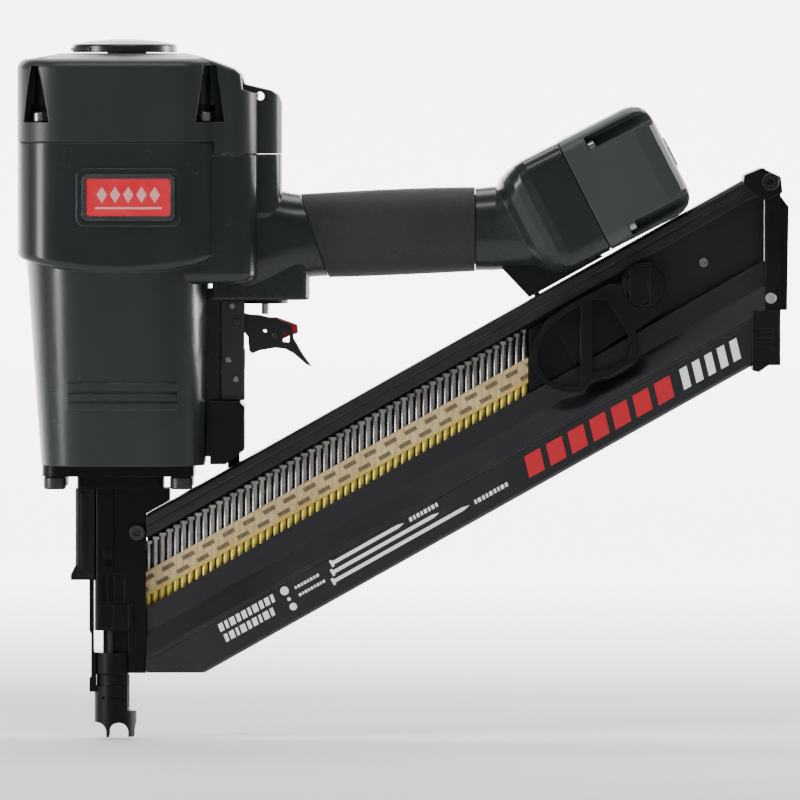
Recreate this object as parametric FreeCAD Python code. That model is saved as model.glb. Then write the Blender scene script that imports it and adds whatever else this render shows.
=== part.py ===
"""Pneumatic strip nail gun: one STEP file for each separate piece.

Millimetres. +Z is up and opposite to the driving direction, +X points back along the handle,
+Y is the far side. The driver's axis is X = 0, Y = 0 and the foot's teeth stand at Z = 0.
"""
import math
import os

import FreeCAD
import Part

# Body casting
BODY_X = 1.3
BODY_WIDE = 109.6
BODY_DEEP = 106.0
BODY_CORNER = 26.0
BODY_LOW = 252.5
BODY_TOP = 318.0
COLUMN_TOP = 311.4
COLUMN_HALF = 23.0
COLUMN_REAR = 87.0
SHOULDER_HALF = 43.0
SHOULDER_REAR = 74.0
SHOULDER_CORNER = 15.0
BASE_X = 2.4
BASE_WIDE = 87.4
BASE_DEEP = 84.0
BASE_CORNER = 25.0
BASE_Z = 146.0
WAIST_X = -0.8
WAIST_WIDE = 97.5
WAIST_DEEP = 104.0
WAIST_CORNER = 36.0
LOWER_CHAMBER_R = 37.5
CHAMBER_STEP = 260.0

# Drive line
BORE_R = 28.0
SLEEVE_R = 32.0
SLEEVE_LOW = 160.0
SLEEVE_TOP = 306.0
PISTON_LOW = 291.0
PISTON_H = 12.0
BLADE_TIP = 112.0
CHANNEL_R = 4.3
CHANNEL_FRONT = -3.2
NOSE_FRONT = -13.2
MUZZLE_X = -1.5
GAP = 0.3

# Handle and its end
HANDLE_DEEP = 31.0
HANDLE_TALL = 37.0
GRIP_DEEP = 38.0
GRIP_FRONT_TOP = (96.5, 290.5)
GRIP_FRONT_LOW = (111.8, 246.0)
GRIP_REAR = 190.0
END_ANGLE = 27.0
END_FRONT = 325.0
END_SEAM = 352.0
END_REAR = 403.6
END_LOW = 113.2
END_TOP = 177.0
END_HALF = 31.0

# Trigger
PIVOT = (63.0, 222.0)
LEVER_PIVOT = (83.0, 214.5)
VALVE_X = 78.0
BOSS_LOW = 233.8
BRACKET_PINS = [(62.3, 191.4), (58.2, 202.0), (60.4, 230.6)]

# Magazine
RAIL_ANGLE = 29.3
RAIL_Z = 98.0
RAIL_HALF = 11.0
RAIL_LOW = 0.6
RAIL_TOP = 11.2
CHANNEL_HALF = 15.0
CHANNEL_LOW = -77.5
LIP_TOP = -32.2
SLOT_HALF = 4.2
MAG_FRONT = 14.6
MAG_REAR = 344.8
MAG_FLOOR = 34.8
BACK_SCREWS = (40.0, 348.6)
BRACKET_SCREW = 262.5

# Nails
NAIL_LEN = 65.0
NAIL_R = 1.65
NAIL_HEAD_R = 3.55
NAIL_HEAD_H = 1.7
NAIL_PITCH = 3.8
NAIL_FIRST = 7.6
NAIL_COUNT = 56
NAIL_DROP = 1.5


def vec(x, y, z):
    return FreeCAD.Vector(x, y, z)


def box(x, y, z):
    """Box from three (low, high) pairs."""
    return Part.makeBox(x[1] - x[0], y[1] - y[0], z[1] - z[0], vec(x[0], y[0], z[0]))


def rod(radius, start, end):
    """Round bar between two points."""
    a = vec(*start)
    b = vec(*end)
    return Part.makeCylinder(radius, (b - a).Length, a, b - a)


def upright(radius, x, y, z):
    return rod(radius, (x, y, z[0]), (x, y, z[1]))


def cross_rod(radius, at, y):
    """Round bar along Y through the (X, Z) point."""
    return rod(radius, (at[0], y[0], at[1]), (at[0], y[1], at[1]))


def tube(outer, inner, start, end):
    return rod(outer, start, end).cut(rod(inner, start, end))


def plate(points, y):
    """Side outline of (X, Z) points with a thickness across Y."""
    loop = Part.makePolygon([vec(px, y[0], pz) for px, pz in points + points[:1]])
    return Part.Face(loop).extrude(vec(0, y[1] - y[0], 0))


def profile(points, x):
    """Section of (Y, Z) points drawn out along X."""
    loop = Part.makePolygon([vec(x[0], py, pz) for py, pz in points + points[:1]])
    return Part.Face(loop).extrude(vec(x[1] - x[0], 0, 0))


def loop(wide, deep, radius, centre, across, up):
    """Rounded rectangle about a centre, in the plane of two directions."""
    hw = wide / 2
    hd = deep / 2
    ends = []
    for sx, sy, first in ((1, 1, 0), (-1, 1, 90), (-1, -1, 180), (1, -1, 270)):
        mid = vec(sx * (hw - radius), sy * (hd - radius), 0)
        arc = []
        for turn in (first, first + 45, first + 90):
            a = math.radians(turn)
            arc.append(mid + vec(radius * math.cos(a), radius * math.sin(a), 0))
        ends.append(arc)
    edges = []
    for i, arc in enumerate(ends):
        edges.append(Part.Arc(*arc).toShape())
        after = ends[(i + 1) % 4][0]
        edges.append(Part.makeLine(arc[2], after))
    wire = Part.Wire(edges)
    across = vec(*across)
    up = vec(*up)
    turn = FreeCAD.Rotation(across, up, across.cross(up), "XYZ")
    wire.Placement = FreeCAD.Placement(vec(*centre), turn)
    return wire


def flat_loop(x, y, wide, deep, radius, z):
    return loop(wide, deep, radius, (x, y, z), (1, 0, 0), (0, 1, 0))


def side_loop(x, z, deep, tall, radius):
    """Loop across the handle, in the plane X = x."""
    return loop(deep, tall, radius, (x, 0, z), (0, 1, 0), (0, 0, 1))


def loft(loops, straight=True):
    return Part.makeLoft(loops, True, straight)


def flat_plate(x, y, wide, deep, radius, z):
    """Upright block with rounded corners between two heights."""
    return loft([flat_loop(x, y, wide, deep, radius, z[0]), flat_loop(x, y, wide, deep, radius, z[1])])


def fuse(shapes):
    joined = shapes[0]
    for shape in shapes[1:]:
        joined = joined.fuse(shape)
    return joined.removeSplitter()


def cut(shape, tools):
    for tool in tools:
        shape = shape.cut(tool)
    return shape


def both_sides(points, y):
    """The same outline on the near and the far side."""
    return [plate(points, (-y[1], -y[0])), plate(points, y)]


def soften(shape, radius, wanted):
    """Round the edges that a test picks by their middle point."""
    edges = []
    for edge in shape.Edges:
        mid = edge.valueAt((edge.FirstParameter + edge.LastParameter) / 2)
        if wanted(mid, edge):
            edges.append(edge)
    return shape.makeFillet(radius, edges) if edges else shape


def is_line_along(edge, axis):
    if edge.Curve.TypeId != "Part::GeomLine":
        return False
    return abs(edge.Curve.Direction.dot(vec(*axis))) > 0.999


def placed(shape, angle, z=0.0):
    """Tilt a piece drawn level so that +X rises by an angle, then lift it."""
    return shape.rotated(vec(0, 0, 0), vec(0, 1, 0), -angle).translated(vec(0, 0, z))


def on_rail(shape):
    return placed(shape, RAIL_ANGLE, RAIL_Z)


def on_end(shape):
    return placed(shape, END_ANGLE)


def end_point(s, y, n):
    """World position of a point given along the handle end's own directions."""
    a = math.radians(END_ANGLE)
    return (s * math.cos(a) - n * math.sin(a), y, s * math.sin(a) + n * math.cos(a))


def rail_line(x, drop):
    """Height over X of a line that runs under the rail's datum by a given drop."""
    a = math.radians(RAIL_ANGLE)
    return RAIL_Z + (x * math.sin(a) - drop) / math.cos(a)


def spring(radius, wire, low, high, x, y, turns):
    """Round wire coil with its axis along Z."""
    rise = high - low - 2 * wire
    helix = Part.makeHelix(rise / turns, rise, radius)
    ring = Part.Wire([Part.makeCircle(wire, vec(radius, 0, 0), vec(0, 1, 0))])
    coil = Part.Wire(helix).makePipeShell([ring], True, True)
    return coil.translated(vec(x, y, low + wire))


def cap_screw(head_r, head_h, shank_r, length):
    """Socket screw standing on Z = 0 with its shank below and its head above."""
    head = upright(head_r, 0, 0, (0, head_h))
    head = head.makeChamfer(head_h * 0.12, [head.Edges[0], head.Edges[2]])
    key = Part.makePolygon([vec(head_r * 0.52 * math.cos(math.radians(60 * k)),
                                head_r * 0.52 * math.sin(math.radians(60 * k)), head_h)
                            for k in range(7)])
    socket = Part.Face(key).extrude(vec(0, 0, -head_h * 0.6))
    shank = upright(shank_r, 0, 0, (-length, 0))
    return fuse([head.cut(socket), shank])


def turned(shape, axis, angle, to):
    return shape.rotated(vec(0, 0, 0), vec(*axis), angle).translated(vec(*to))


# ---------------------------------------------------------------- body casting

CAP_SEAT = 329.0
CAP_SCREWS = [(x, y) for x in (-40.5, 46.0) for y in (-37.0, 37.0)]
NOSE_SCREWS = [(x, y) for x in (-34.0, 33.4) for y in (-21.5, 21.5)]
END_SCREWS = [(y, n) for y in (-26.5, 26.5) for n in (120.6, 167.0)]


def lower_body(grow=0.0):
    """Tapered lower casting, almost flush with the upper body in front and rounder at the corners."""
    wide = 2 * grow
    return loft([
        flat_loop(BASE_X, 0, BASE_WIDE + wide, BASE_DEEP + wide, BASE_CORNER + grow, BASE_Z),
        flat_loop(WAIST_X, 0, WAIST_WIDE + wide, WAIST_DEEP + wide, WAIST_CORNER + grow, BODY_LOW + 9),
    ])


def upper_body():
    """Air chamber whose lower edge sags in an arch towards the middle."""
    block = flat_plate(BODY_X, 0, BODY_WIDE, BODY_DEEP, BODY_CORNER, (BODY_LOW - 10.0, BODY_TOP))
    half = BODY_WIDE / 2 + 2.0
    ends = [vec(BODY_X - half, -60.0, BODY_LOW + 5.0), vec(BODY_X + half, -60.0, BODY_LOW + 5.0)]
    arch = Part.Arc(ends[0], vec(BODY_X, -60.0, BODY_LOW - 4.0), ends[1]).toShape()
    sides = Part.makePolygon([ends[1], vec(ends[1].x, -60.0, BODY_TOP + 1),
                              vec(ends[0].x, -60.0, BODY_TOP + 1), ends[0]])
    keep = Part.Face(Part.Wire([arch] + sides.Edges)).extrude(vec(0, 120.0, 0))
    return soften(block.common(keep), 4.5,
                  lambda p, e: p.z < BODY_LOW + 8.0 and not is_line_along(e, (0, 0, 1)))


def side_ribs():
    skin = lower_body(1.3)
    ribs = []
    for low, high in ((187.0, 190.5), (181.4, 184.8), (176.2, 179.8)):
        for side in (-1, 1):
            reach = sorted((side * 30.0, side * 60.0))
            ribs.append(skin.common(box((-26.7, 32.0), reach, (low, high))))
    return ribs


def grip_front_cut(shift):
    """Everything behind the grip's slanted front face."""
    top = GRIP_FRONT_TOP
    low = GRIP_FRONT_LOW
    slope = (low[0] - top[0]) / (top[1] - low[1])
    z0 = 200.0
    z1 = 330.0
    x0 = low[0] + (low[1] - z0) * slope + shift
    x1 = top[0] - (z1 - top[1]) * slope + shift
    return plate([(x0, z0), (x1, z1), (400, z1), (400, z0)], (-60, 60))


def neck():
    """Rear column in two steps, and the shoulder that leads into the handle."""
    wide = flat_plate(SHOULDER_REAR - 30.0, 0, 60.0, 2 * SHOULDER_HALF, SHOULDER_CORNER,
                      (243.0, COLUMN_TOP))
    wide = soften(wide, 6.0, lambda p, e: p.z < 243.1)
    slim = flat_plate(COLUMN_REAR - 30.0, 0, 60.0, 2 * COLUMN_HALF, 12.0, (276.0, COLUMN_TOP))
    slim = soften(slim, 5.0, lambda p, e: p.z < 276.1)
    shoulder = loft([
        side_loop(66.0, 266.8, 45.0, 60.0, 18.0),
        side_loop(80.0, 266.8, 43.0, 54.0, 18.0),
        side_loop(92.0, 267.4, 40.0, 47.0, 18.0),
        side_loop(103.0, 267.8, 38.5, 43.8, 17.5),
        side_loop(118.0, 268.4, 38.0, 43.4, 17.5),
    ], False).cut(grip_front_cut(-GAP / 2))
    return [wide, slim, shoulder]


def valve_boss():
    boss = box((50.0, 101.7), (-17.0, 17.0), (BOSS_LOW, 260.0))
    boss = soften(boss, 7.0, lambda p, e: p.x > 100 and is_line_along(e, (0, 0, 1)))
    return soften(boss, 1.5, lambda p, e: p.z < BOSS_LOW + 0.1 and p.x > 60)


def handle_core():
    front = loft([
        side_loop(60.0, 266.6, HANDLE_DEEP, HANDLE_TALL, 14.0),
        side_loop(GRIP_REAR + 3.0, 271.4, HANDLE_DEEP, HANDLE_TALL, 14.0),
    ])
    tall = END_TOP - END_LOW
    mid = (END_TOP + END_LOW) / 2
    a = math.radians(END_ANGLE)
    up = (-math.sin(a), 0, math.cos(a))
    swell = loft([
        side_loop(GRIP_REAR + GAP, 271.4, 37.6, 44.0, 17.0),
        side_loop(201.0, 272.0, 38.0, 45.0, 17.0),
        loop(42.0, tall - 16.0, 16.0, end_point(END_FRONT - 12.0, 0, mid + 1.5), (0, 1, 0), up),
        loop(50.0, tall - 8.0, 15.0, end_point(END_FRONT - 8.0, 0, mid + 0.5), (0, 1, 0), up),
        loop(56.4, tall - 3.4, 13.0, end_point(END_FRONT - 3.4, 0, mid), (0, 1, 0), up),
        loop(60.4, tall - 0.8, 10.8, end_point(END_FRONT + 1.4, 0, mid), (0, 1, 0), up),
        loop(2 * END_HALF, tall, 9.0, end_point(END_FRONT + 6.5, 0, mid), (0, 1, 0), up),
        loop(2 * END_HALF, tall, 9.0, end_point(END_SEAM, 0, mid), (0, 1, 0), up),
    ])
    return [front, swell]


def end_screw_hole(radius, y, n, s):
    return rod(radius, end_point(s[0], y, n), end_point(s[1], y, n))


def housing():
    solid = [upper_body(), lower_body()] + side_ribs() + neck() + [valve_boss()] + handle_core()
    solid.append(box((40.0, 54.4), (-7.0, 7.0), (150.0, 240.0)))
    solid.append(badge_pad())
    body = fuse(solid)
    mid = (END_TOP + END_LOW) / 2
    tools = [
        air_chamber(),
        upright(LOWER_CHAMBER_R, 0, 0, (SLEEVE_LOW, CHAMBER_STEP + 1)),
        upright(12.0, 0, 0, (BASE_Z - 1, SLEEVE_LOW + 1)),
        rod(11.5, (38.0, 0, 268.5), (214.0, 0, 272.5)),
        on_end(box((336.0, END_SEAM + 1), (-21.0, 21.0), (mid - 20.0, mid + 20.0))),
        rod(13.0, (203.0, 0, 272.1), end_point(338.0, 0, mid)),
        upright(9.8, VALVE_X, 0, (BOSS_LOW - 1, 259.0)),
        upright(4.0, VALVE_X, 0, (258.0, 266.0)),
    ]
    for x, y in CAP_SCREWS:
        tools.append(upright(3.1, x, y, (BODY_TOP - 24.0, BODY_TOP + 1)))
    for x, y in NOSE_SCREWS:
        tools.append(upright(3.1, x, y, (BASE_Z - 1, BASE_Z + 12.0)))
    for y, n in END_SCREWS:
        tools.append(end_screw_hole(2.1, y, n, (END_SEAM - 17.0, END_SEAM + 1)))
    for z in (156.0, 172.0):
        tools.append(rod(2.1, (46.0, 0, z), (60.0, 0, z)))
    return cut(body, tools)


def air_chamber():
    """Air space round the cylinder, with a post left standing at each cap screw."""
    wall = 5.0
    room = flat_plate(BODY_X, 0, BODY_WIDE - 2 * wall, BODY_DEEP - 2 * wall, BODY_CORNER - wall,
                      (CHAMBER_STEP, BODY_TOP + 1))
    return cut(room, [upright(8.0, x, y, (CHAMBER_STEP - 1, BODY_TOP + 2)) for x, y in CAP_SCREWS])


def badge_pad():
    pad = box((-21.4, 33.7), (-54.4, -40.0), (273.9, 304.4))
    pad = soften(pad, 4.5, lambda p, e: is_line_along(e, (0, 1, 0)))
    return pad.cut(box((-18.6, 30.9), (-60.0, -53.6), (276.7, 301.6)))


def badge_frame():
    rim = box((-18.5, 30.8), (-55.3, -53.6), (276.8, 301.5))
    rim = soften(rim, 3.0, lambda p, e: is_line_along(e, (0, 1, 0)))
    return rim.cut(box((-16.2, 28.5), (-60.0, -54.2), (279.1, 299.2)))


def badge_plate():
    face = box((-16.0, 28.3), (-55.0, -54.2), (279.3, 299.0))
    return soften(face, 1.6, lambda p, e: is_line_along(e, (0, 1, 0)))


# ---------------------------------------------------------------- top of the tool

def cap_shell():
    """Square-shouldered dome over the cylinder, stepping down to a block over the rear column."""
    low = BODY_TOP + 0.6
    brow = 362.6
    main = flat_plate(BODY_X, 0, BODY_WIDE, BODY_DEEP, BODY_CORNER, (low, brow))
    main = soften(main, 5.5, lambda p, e: p.z > brow - 0.1)
    crown = loft([
        flat_loop(BODY_X, 0, BODY_WIDE - 11.5, BODY_DEEP - 11.5, BODY_CORNER - 5.7, brow - 0.2),
        flat_loop(2.6, 0, 66.0, 64.0, 30.0, 365.5),
    ])
    outline = [(36.0, low), (36.0, 364.8), (52.0, 361.0), (62.0, 357.2), (65.6, 354.2), (67.4, 349.0),
               (81.5, 345.6), (85.4, 343.0), (COLUMN_REAR, 339.0), (COLUMN_REAR, COLUMN_TOP + 0.6),
               (COLUMN_REAR - 34.0, COLUMN_TOP + 0.6), (COLUMN_REAR - 34.0, low)]
    block = plate(outline, (-COLUMN_HALF, COLUMN_HALF))
    block = soften(block, 10.0, lambda p, e: p.x > COLUMN_REAR - 0.1 and is_line_along(e, (0, 0, 1)))
    slope = plate([(34.0, 366.0), (38.0, 365.2), (52.0, 361.0), (62.0, 357.2), (65.6, 354.2),
                   (66.6, 346.0), (SHOULDER_REAR, 344.0), (SHOULDER_REAR, 380.0), (34.0, 380.0)],
                  (-70.0, 70.0))
    wide = flat_plate(SHOULDER_REAR - 30.0, 0, 60.0, 2 * SHOULDER_HALF, SHOULDER_CORNER,
                      (COLUMN_TOP + 0.6, brow))
    shoulder = soften(fuse([main, wide]).cut(slope), 2.0,
                      lambda p, e: p.z > 350.0 and abs(p.y) > 30.0 and p.x > 58.0)
    body = flat_plate(BODY_X, 0, BODY_WIDE + 0.6, BODY_DEEP, BODY_CORNER, (COLUMN_TOP, low))
    return fuse([shoulder, crown.cut(slope), block]).cut(body)


def cap_scoop(x, y):
    """Space over a cap screw: seat, key hole, and a tapered scoop that opens on the corner."""
    out, aside = (2.0, 6.5) if x > 0 else (-0.5, 7.0)
    aside = math.copysign(aside, y)
    return [
        upright(5.6, x, y, (CAP_SEAT, CAP_SEAT + 9.0)),
        upright(3.4, x, y, (CAP_SEAT, 370.0)),
        Part.makeCone(9.0, 4.6, 30.0, vec(x + out, y + aside, CAP_SEAT), vec(0, 0, 1)),
        upright(3.3, x, y, (BODY_TOP, CAP_SEAT + 1)),
    ]


def cylinder_cap():
    tools = [
        upright(43.0, 0, 0, (BODY_TOP, 349.0)).cut(upright(22.0, 0, 0, (330.0, 350.0))),
        upright(18.0, 0, 0, (329.0, 352.0)),
        upright(12.4, 2.6, 0, (356.0, 367.0)),
        cross_rod(2.3, (75.4, 342.6), (-30, 30)),
        upright(2.6, 2.6, 0, (346.0, 357.0)),
    ]
    for k in range(4):
        a = math.radians(45 + 90 * k)
        tools.append(upright(2.4, 2.6 + 8.0 * math.cos(a), 8.0 * math.sin(a), (350.0, 357.0)))
    for x, y in CAP_SCREWS:
        tools += cap_scoop(x, y)
    return cut(cap_shell(), tools)


def cap_gasket():
    skin = loft([
        flat_loop(BODY_X, 0, BODY_WIDE - 1.6, BODY_DEEP - 1.6, BODY_CORNER - 0.8, BODY_TOP),
        flat_loop(BODY_X, 0, BODY_WIDE - 1.6, BODY_DEEP - 1.6, BODY_CORNER - 0.8, BODY_TOP + 0.6),
    ])
    tools = [upright(42.0, 0, 0, (BODY_TOP - 1, BODY_TOP + 2))]
    for x, y in CAP_SCREWS:
        tools.append(upright(3.3, x, y, (BODY_TOP - 1, BODY_TOP + 2)))
    return cut(skin, tools)


def cap_screws():
    screw = cap_screw(4.9, 5.4, 3.0, 32.0)
    return [screw.translated(vec(x, y, CAP_SEAT)) for x, y in CAP_SCREWS]


def exhaust_deflector():
    x = 2.6
    arch = Part.Arc(vec(x, 0, 373.0), vec(x + 15.0, 0, 372.2), vec(x + 28.4, 0, 370.2)).toShape()
    edge = Part.makePolygon([vec(x + 28.4, 0, 370.2), vec(x + 28.4, 0, 365.9), vec(x, 0, 365.9),
                             vec(x, 0, 373.0)])
    disc = Part.Face(Part.Wire([arch] + edge.Edges)).revolve(vec(x, 0, 0), vec(0, 0, 1), 360.0)
    disc = soften(disc, 1.4, lambda p, e: p.z > 369.0)
    hub = upright(11.9, x, 0, (358.0, 366.5))
    lip = upright(28.4, x, 0, (366.6, 368.6)).common(box((-35.0, -14.0), (-30, 30), (366, 373)))
    lip = lip.translated(vec(-1.2, 0, 0))
    body = fuse([disc, hub, lip])
    tools = [
        upright(22.5, x, 0, (370.0, 374.0)).cut(upright(20.9, x, 0, (369.0, 375.0))),
        upright(9.4, x, 0, (357.0, 364.0)).cut(upright(4.6, x, 0, (357.0, 364.0))),
        upright(2.7, x, 0, (355.0, 375.0)),
        upright(5.4, x, 0, (369.6, 374.0)),
        box((x - 40.0, x - 8.0), (-8.0, 8.0), (361.0, 370.2)).cut(upright(9.0, x, 0, (360, 371))),
    ]
    return cut(body, tools)


def deflector_screw():
    return cap_screw(4.8, 2.8, 2.4, 20.0).translated(vec(2.6, 0, 369.6))


def head_valve():
    disc = upright(34.0, 0, 0, (307.6, 313.0))
    boss = upright(17.6, 0, 0, (312.0, 340.0))
    return fuse([disc, boss]).cut(upright(11.5, 0, 0, (320.0, 341.0)))


def cylinder_sleeve():
    wall = upright(SLEEVE_R, 0, 0, (SLEEVE_LOW, SLEEVE_TOP))
    foot = upright(36.8, 0, 0, (SLEEVE_LOW, SLEEVE_LOW + 6.0))
    land = upright(34.4, 0, 0, (212.0, 222.0))
    tools = [
        upright(BORE_R, 0, 0, (SLEEVE_LOW - 1, SLEEVE_TOP + 1)),
        tube(40.0, 33.0, (0, 0, 215.0), (0, 0, 219.0)),
    ]
    for k in range(10):
        a = math.radians(36 * k)
        tools.append(rod(2.0, (0, 0, 226.0), (40.0 * math.cos(a), 40.0 * math.sin(a), 226.0)))
        tools.append(rod(2.5, (0, 0, 188.0), (40.0 * math.cos(a), 40.0 * math.sin(a), 188.0)))
    return cut(fuse([wall, foot, land]), tools)


def sleeve_seals():
    upper = upright(37.3, 0, 0, (215.2, 218.8)).cut(upright(33.1, 0, 0, (215.0, 219.0)))
    lower = upright(37.3, 0, 0, (166.1, 168.6)).cut(upright(32.1, 0, 0, (166.0, 169.0)))
    return [upper, lower]


def piston():
    high = PISTON_LOW + PISTON_H
    body = upright(BORE_R - GAP, 0, 0, (PISTON_LOW, high))
    groove = upright(BORE_R + 1, 0, 0, (PISTON_LOW + 5, PISTON_LOW + 8.2))
    groove = groove.cut(upright(BORE_R - 3.2, 0, 0, (PISTON_LOW + 5, PISTON_LOW + 8.2)))
    dish = upright(18.0, 0, 0, (high - 3.0, high + 1))
    return cut(body, [groove, dish, upright(4.1, 0, 0, (PISTON_LOW - 1, high + 1))])


def piston_ring():
    low = PISTON_LOW + 5.1
    return tube(BORE_R - 0.2, BORE_R - 3.1, (0, 0, low), (0, 0, low + 3.0))


def driver_blade():
    blade = box((-3.0, 3.0), (-2.6, 2.6), (BLADE_TIP, PISTON_LOW))
    collar = upright(8.0, 0, 0, (PISTON_LOW - 10.0, PISTON_LOW))
    stud = upright(4.0, 0, 0, (PISTON_LOW - 1.0, PISTON_LOW + PISTON_H - 1.5))
    return fuse([blade, collar, stud])


def bumper():
    pad = upright(BORE_R - 0.2, 0, 0, (SLEEVE_LOW + 0.2, 183.0))
    ring = upright(BORE_R + 1, 0, 0, (170.0, 174.0)).cut(upright(BORE_R - 3.0, 0, 0, (170.0, 174.0)))
    return cut(pad, [ring, upright(11.0, 0, 0, (159.0, 184.0))])


# ---------------------------------------------------------------- handle

def grip_sleeve():
    skin = loft([
        side_loop(80.0, 267.4, GRIP_DEEP, 43.6, 17.5),
        side_loop(112.0, 268.4, GRIP_DEEP + 1.0, 45.4, 18.0),
        side_loop(150.0, 270.0, GRIP_DEEP + 1.6, 46.0, 18.0),
        side_loop(GRIP_REAR, 271.4, GRIP_DEEP + 0.4, 45.0, 17.5),
    ], False)
    core = loft([
        side_loop(60.0, 266.6, HANDLE_DEEP + 0.2, HANDLE_TALL + 0.2, 14.0),
        side_loop(GRIP_REAR + 3.0, 271.4, HANDLE_DEEP + 0.2, HANDLE_TALL + 0.2, 14.0),
    ])
    return skin.common(grip_front_cut(GAP / 2)).cut(core)


def end_cap():
    mid = (END_TOP + END_LOW) / 2
    a = math.radians(END_ANGLE)
    up = (-math.sin(a), 0, math.cos(a))
    tall = END_TOP - END_LOW
    shell = loft([
        loop(2 * END_HALF, tall, 9.0, end_point(END_SEAM + 0.8, 0, mid), (0, 1, 0), up),
        loop(2 * END_HALF, tall, 9.0, end_point(END_REAR - 12.0, 0, mid), (0, 1, 0), up),
        loop(2 * END_HALF - 1.6, tall - 1.6, 9.0, end_point(END_REAR - 7.4, 0, mid), (0, 1, 0), up),
        loop(2 * END_HALF - 5.6, tall - 5.6, 8.6, end_point(END_REAR - 3.6, 0, mid), (0, 1, 0), up),
        loop(2 * END_HALF - 11.6, tall - 11.6, 7.6, end_point(END_REAR - 1.2, 0, mid), (0, 1, 0), up),
        loop(2 * END_HALF - 20.0, tall - 20.0, 6.0, end_point(END_REAR, 0, mid), (0, 1, 0), up),
    ])
    tools = [
        on_end(box((END_SEAM, END_REAR - 18.0), (-20.5, 20.5), (mid - 22.0, mid + 22.0))),
        end_screw_hole(8.6, 0, mid, (END_REAR - 19.0, END_REAR + 1)),
    ]
    for y, n in END_SCREWS:
        out = math.copysign(2.6, y)
        lift = math.copysign(2.2, n - mid)
        tools.append(end_screw_hole(4.0, y, n, (366.0, END_REAR + 1)))
        tools.append(end_screw_hole(4.0, y + out, n + lift, (366.0, END_REAR + 1)))
        tools.append(end_screw_hole(2.3, y, n, (END_SEAM, 367.0)))
    return cut(shell, tools)


def end_cap_gasket():
    mid = (END_TOP + END_LOW) / 2
    tall = END_TOP - END_LOW
    slab = on_end(box((END_SEAM, END_SEAM + 0.8), (1 - END_HALF, END_HALF - 1),
                      (mid - tall / 2 + 1, mid + tall / 2 - 1)))
    slab = soften(slab, 8.0, lambda p, e: e.Length < 1.0)
    tools = [on_end(box((END_SEAM - 1, END_SEAM + 2), (-20.0, 20.0), (mid - 19.5, mid + 19.5)))]
    for y, n in END_SCREWS:
        tools.append(end_screw_hole(2.3, y, n, (END_SEAM - 1, END_SEAM + 2)))
    return cut(slab, tools)


def end_cap_screws():
    screw = cap_screw(3.7, 4.2, 2.0, 28.0)
    screws = []
    for y, n in END_SCREWS:
        screws.append(turned(screw, (0, 1, 0), 90.0 - END_ANGLE, end_point(366.0, y, n)))
    return screws


def inlet_bush():
    mid = (END_TOP + END_LOW) / 2
    body = end_screw_hole(8.5, 0, mid, (END_REAR - 18.0, END_REAR + 1.2))
    body = body.cut(end_screw_hole(5.7, 0, mid, (END_REAR - 19.0, END_REAR + 2)))
    return body


# ---------------------------------------------------------------- trigger

TRIGGER_SIDE = [(60.0, 226.4), (64.0, 227.2), (70.0, 225.8), (74.4, 225.6), (86.7, 222.8), (92.0, 220.4),
                (93.1, 213.2), (98.2, 204.4), (102.9, 197.9), (100.0, 199.3), (93.3, 205.1),
                (88.6, 207.6), (83.5, 208.1), (75.3, 206.8), (71.2, 205.1), (69.4, 206.4),
                (68.8, 214.0), (66.0, 217.6), (60.0, 217.6)]
TRIGGER_SLOT = [(50.0, 232.0), (50.0, 214.0), (67.5, 214.0), (71.5, 209.0), (75.5, 210.0), (83.5, 211.3),
                (90.0, 210.2), (91.2, 213.0), (104.0, 213.0), (104.0, 232.0)]


def trigger():
    body = plate(TRIGGER_SIDE, (-7.0, 7.0))
    ear = cross_rod(5.0, PIVOT, (-7.0, 7.0))
    body = fuse([body, ear]).cut(plate(TRIGGER_SLOT, (-3.7, 3.7)))
    window = plate([(87.4, 216.4), (91.2, 215.4), (90.6, 210.8), (87.4, 211.2)], (-9, 9))
    return cut(body, [
        cross_rod(2.15, PIVOT, (-9, 9)),
        cross_rod(1.5, LEVER_PIVOT, (-9, 9)),
        cross_rod(1.2, (78.0, 217.4), (-9, 9)),
        window,
    ])


def trigger_pin():
    return cross_rod(2.0, PIVOT, (-12.0, 12.0))


def trigger_lever():
    bar = plate([(66.6, 217.6), (66.6, 220.2), (75.5, 224.4), (84.0, 224.4), (95.2, 220.4), (95.6, 216.0),
                 (90.0, 214.0), (86.2, 212.2), (80.0, 212.2), (78.6, 217.6)], (-3.3, 3.3))
    bar = soften(bar, 0.8, lambda p, e: p.x > 94 and is_line_along(e, (0, 1, 0)))
    return bar.cut(cross_rod(1.65, LEVER_PIVOT, (-9, 9)))


def lever_pin():
    return cross_rod(1.45, LEVER_PIVOT, (-7.2, 7.2))


def trigger_valve_body():
    barrel = upright(9.6, VALVE_X, 0, (BOSS_LOW - 2.0, 257.5))
    barrel = fuse([barrel, upright(12.0, VALVE_X, 0, (BOSS_LOW - 2.0, BOSS_LOW))])
    return cut(barrel, [
        upright(6.0, VALVE_X, 0, (240.0, 254.5)),
        upright(2.35, VALVE_X, 0, (BOSS_LOW - 3.0, 241.0)),
        upright(2.0, VALVE_X, 0, (254.0, 258.0)),
    ])


def valve_stem():
    stem = upright(2.05, VALVE_X, 0, (226.0, 241.0))
    return fuse([stem, upright(5.0, VALVE_X, 0, (240.3, 243.0))])


def trigger_spring():
    coil = spring(3.2, 0.45, -3.3, 3.3, 0, 0, 5)
    return turned(coil, (1, 0, 0), 90.0, (PIVOT[0], 0, PIVOT[1]))


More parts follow.
